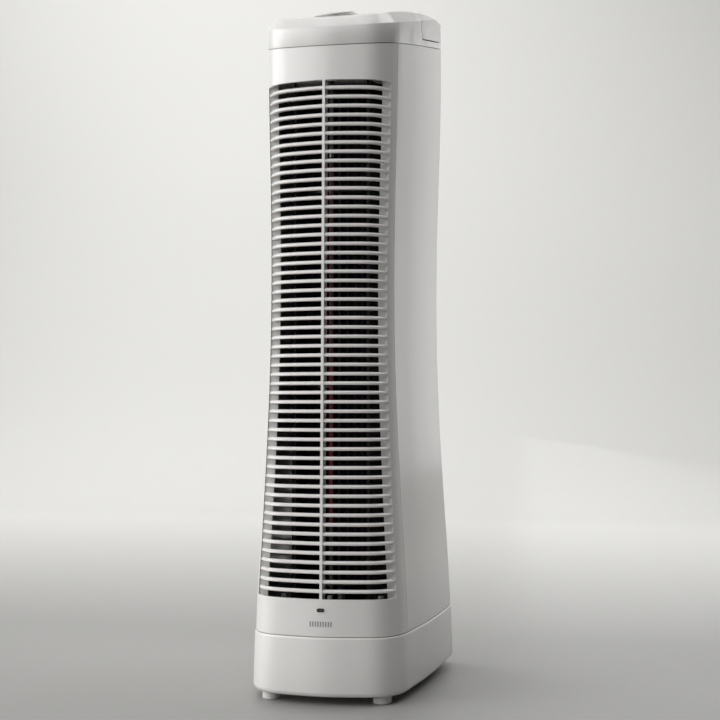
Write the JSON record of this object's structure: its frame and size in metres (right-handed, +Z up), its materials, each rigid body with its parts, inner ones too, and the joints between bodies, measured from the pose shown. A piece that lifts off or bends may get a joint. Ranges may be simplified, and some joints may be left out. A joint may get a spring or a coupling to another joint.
{
  "type": "tower air purifier",
  "caption": "Slim white tower air purifier with a slatted front grille, sloping top with a speed dial, lift-out filter and flared base.",
  "frame": {"origin": "on the floor under the middle of the base, at the bottom centre of the bounding box", "axes": "+Z up, front grille faces -Y, +X is the right-hand side seen from the front"},
  "size_m": [0.1882, 0.2528, 0.7277],
  "materials": {
    "gloss_white": "gloss",
    "matte_white": "matte",
    "grey_plastic": "matte",
    "black_plastic": "satin",
    "smoked_lens": "gloss",
    "grey_ink": "matte",
    "foot_rubber": "matte",
    "foot_rubber_black": "matte",
    "zinc_steel": "satin",
    "motor_case": "satin",
    "bronze_bush": "satin",
    "circuit_board": "satin",
    "filter_paper": "matte",
    "carbon_foam": "matte",
    "red_insulation": "satin"
  },
  "bodies": {
    "housing": {"base_skirt": "gloss_white", "base_plate": "matte_white", "base_screws": "zinc_steel", "feet": "foot_rubber", "cord_gland": "black_plastic", "front_panel": "gloss_white", "side_shell_right": "gloss_white", "side_shell_left": "gloss_white", "rear_grille": "gloss_white", "rear_screws": "zinc_steel", "top_cap": "gloss_white", "dial_bezel": "grey_plastic", "rotary_switch": "black_plastic", "tact_switch": "black_plastic", "control_board": "circuit_board", "indicator_lens": "smoked_lens", "indicator_rim": "gloss_white", "indicator_board": "circuit_board", "filter_mark": "grey_ink", "grille_carrier": "matte_white", "lower_deck": "grey_plastic", "upper_deck": "matte_white", "filter_bay": "black_plastic", "scroll_wall": "black_plastic", "fan_tongue": "black_plastic", "motor": "motor_case", "motor_bracket": "zinc_steel", "motor_mounts": "foot_rubber_black", "upper_bearing": "bronze_bush", "bearing_holder": "foot_rubber_black", "power_board": "circuit_board", "motor_capacitor": "grey_plastic", "ioniser_module": "black_plastic", "ioniser_rail": "black_plastic", "ioniser_lead": "red_insulation", "emitter_pin": "zinc_steel"},
    "cartridge": {"cartridge_handle": "gloss_white", "cartridge_frame": "matte_white", "filter_pleats": "filter_paper", "carbon_prefilter": "carbon_foam"},
    "dial": {"speed_dial": "gloss_white"},
    "reset": {"reset_button": "gloss_white"},
    "fan": {"impeller": "black_plastic", "motor_shaft": "zinc_steel"}
  },
  "joints": [
    {"name": "cartridge_lift", "type": "slide", "parent": "housing", "child": "cartridge", "axis": [0, 0, 1], "range_m": [0, 0.56]},
    {"name": "dial_turn", "type": "hinge", "parent": "housing", "child": "dial", "pos_m": [0, -0.0601, 0.69361], "axis": [0, -0.295, 0.9555], "range_deg": [-180, 0]},
    {"name": "reset_press", "type": "slide", "parent": "housing", "child": "reset", "axis": [0, 0.295, -0.9555], "range_m": [0, 0.0015], "stiffness_N_per_m": 600, "springref_m": -0.0005},
    {"name": "fan_spin", "type": "hinge", "parent": "housing", "child": "fan", "pos_m": [0, -0.035, 0.3], "axis": [0, 0, 1], "continuous": true}
  ]
}
